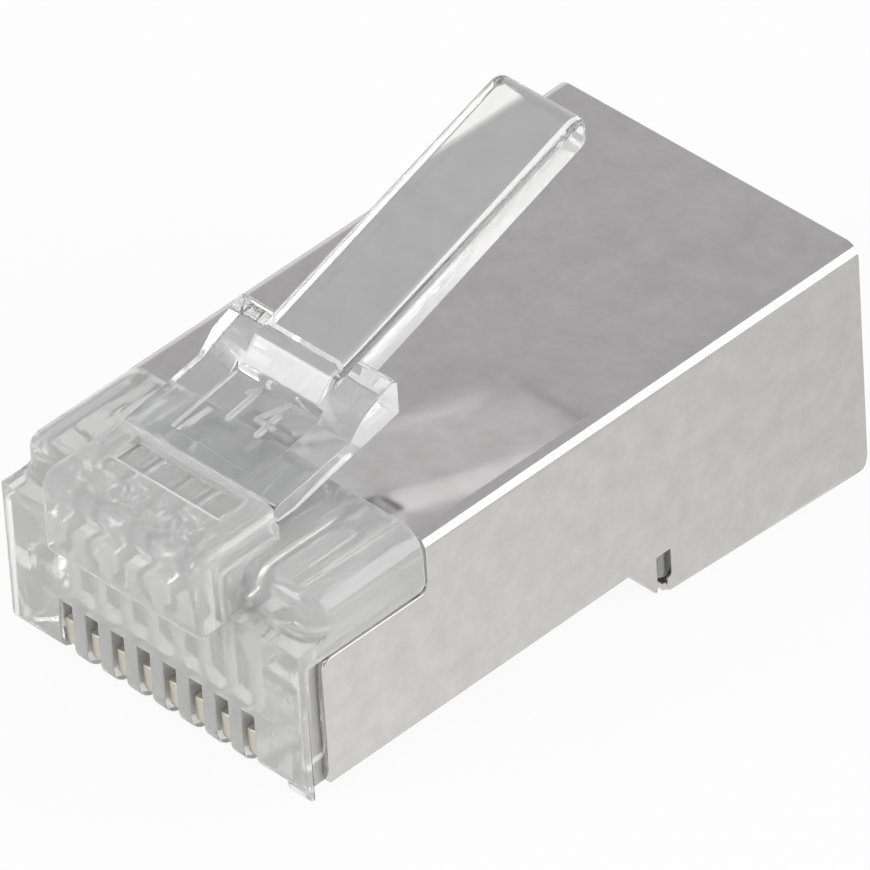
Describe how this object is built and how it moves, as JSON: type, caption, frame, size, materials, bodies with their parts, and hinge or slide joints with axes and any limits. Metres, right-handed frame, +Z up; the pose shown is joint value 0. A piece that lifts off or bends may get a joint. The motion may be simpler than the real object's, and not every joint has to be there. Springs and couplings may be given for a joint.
{
  "type": "shielded modular plug",
  "caption": "Crimp-on modular plug with a clear moulded body, sprung locking latch, folded metal shield and a row of blade contacts.",
  "frame": {"origin": "on the centre line at the lower front edge of the nose", "axes": "+X across the plug, +Y from the nose to the cable end, +Z up on the latch side"},
  "size_m": [0.0116, 0.0231, 0.0142],
  "materials": {
    "plated_sheet": "nickel-plated brass sheet, satin bright",
    "clear_plastic": "clear injection-moulded polycarbonate",
    "gold_plate": "gold-plated phosphor bronze"
  },
  "bodies": {
    "plug": {"housing": "clear_plastic", "shield": "plated_sheet", "contact_1": "gold_plate", "contact_2": "gold_plate", "contact_3": "gold_plate", "contact_4": "gold_plate", "contact_5": "gold_plate", "contact_6": "gold_plate", "contact_7": "gold_plate", "contact_8": "gold_plate"},
    "latch": {"latch_tab": "clear_plastic"}
  },
  "joints": [
    {"name": "latch_flex", "type": "hinge", "parent": "plug", "child": "latch", "pos_m": [0, 0.00235, 0.00736], "axis": [-1, 0, 0], "range_deg": [0, 17], "stiffness_Nm_per_rad": 0.2}
  ]
}
